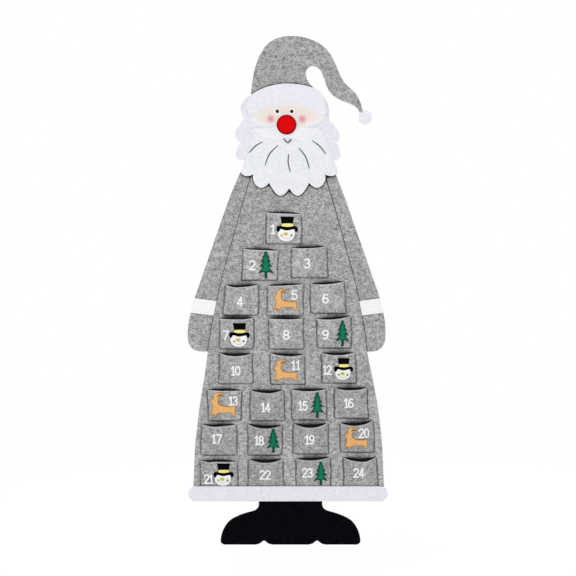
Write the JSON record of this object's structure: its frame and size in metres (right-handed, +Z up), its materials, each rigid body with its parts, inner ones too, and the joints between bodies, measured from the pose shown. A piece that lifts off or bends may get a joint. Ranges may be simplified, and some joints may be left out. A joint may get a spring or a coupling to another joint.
{
  "type": "felt advent calendar",
  "caption": "Felt wall advent calendar shaped as Father Christmas, with numbered sewn pockets, felt motifs, white trims and a slotted hanging tab behind the hat",
  "frame": {"origin": "where a nail carries the hanging tab: the top edge of its slot, on the wall plane", "axes": "+Z up, -Y the front that faces the room, +X to the viewer's right"},
  "size_m": [0.4715, 0.0261, 1.2],
  "materials": {
    "grey_felt": "heather grey felt, matt, with light and dark fibres",
    "white_felt": "white felt, matt",
    "black_felt": "black felt, matt",
    "skin_felt": "pale peach felt, matt",
    "red_felt": "bright red felt, padded",
    "green_felt": "dark green felt, matt",
    "orange_felt": "orange felt, matt",
    "black_bead": "black, slightly glossy"
  },
  "bodies": {
    "calendar": {"body_panel": "grey_felt", "hat": "grey_felt", "hanging_tab": "grey_felt", "hem_band": "white_felt", "hat_bobble": "white_felt", "hat_trim": "white_felt", "hair": "white_felt", "beard": "white_felt", "moustache": "white_felt", "face": "skin_felt", "nose": "red_felt", "left_eye": "black_bead", "right_eye": "black_bead", "pocket_01": "grey_felt", "pocket_02": "grey_felt", "pocket_03": "grey_felt", "pocket_04": "grey_felt", "pocket_05": "grey_felt", "pocket_06": "grey_felt", "pocket_07": "grey_felt", "pocket_08": "grey_felt", "pocket_09": "grey_felt", "pocket_10": "grey_felt", "pocket_11": "grey_felt", "pocket_12": "grey_felt", "pocket_13": "grey_felt", "pocket_14": "grey_felt", "pocket_15": "grey_felt", "pocket_16": "grey_felt", "pocket_17": "grey_felt", "pocket_18": "grey_felt", "pocket_19": "grey_felt", "pocket_20": "grey_felt", "pocket_21": "grey_felt", "pocket_22": "grey_felt", "pocket_23": "grey_felt", "pocket_24": "grey_felt", "fir_tree_02": "green_felt", "fir_tree_09": "green_felt", "fir_tree_15": "green_felt", "fir_tree_18": "green_felt", "fir_tree_23": "green_felt", "reindeer_05": "orange_felt", "reindeer_11": "orange_felt", "reindeer_13": "orange_felt", "reindeer_20": "orange_felt", "snowman_hat_01": "black_felt", "snowman_hat_07": "black_felt", "snowman_hat_12": "black_felt", "snowman_hat_21": "black_felt", "snowman_head_01": "white_felt", "snowman_head_07": "white_felt", "snowman_head_12": "white_felt", "snowman_head_21": "white_felt"},
    "boots": {"boots": "black_felt"},
    "left_arm": {"left_arm": "grey_felt", "left_cuff": "white_felt"},
    "right_arm": {"right_arm": "grey_felt", "right_cuff": "white_felt"}
  },
  "joints": [
    {"name": "boots_fold", "type": "hinge", "parent": "calendar", "child": "boots", "pos_m": [0.006, -0.0015, -1.012], "axis": [1, 0, 0], "range_deg": [0, 170], "stiffness_Nm_per_rad": 0.02},
    {"name": "left_arm_fold", "type": "hinge", "parent": "calendar", "child": "left_arm", "pos_m": [-0.0601, -0.0015, -0.2476], "axis": [-0.2442, 0, -0.9697], "range_deg": [0, 170], "stiffness_Nm_per_rad": 0.02},
    {"name": "right_arm_fold", "type": "hinge", "parent": "calendar", "child": "right_arm", "pos_m": [0.0601, -0.0015, -0.2476], "axis": [-0.24, 0, 0.9708], "range_deg": [0, 170], "stiffness_Nm_per_rad": 0.02}
  ]
}
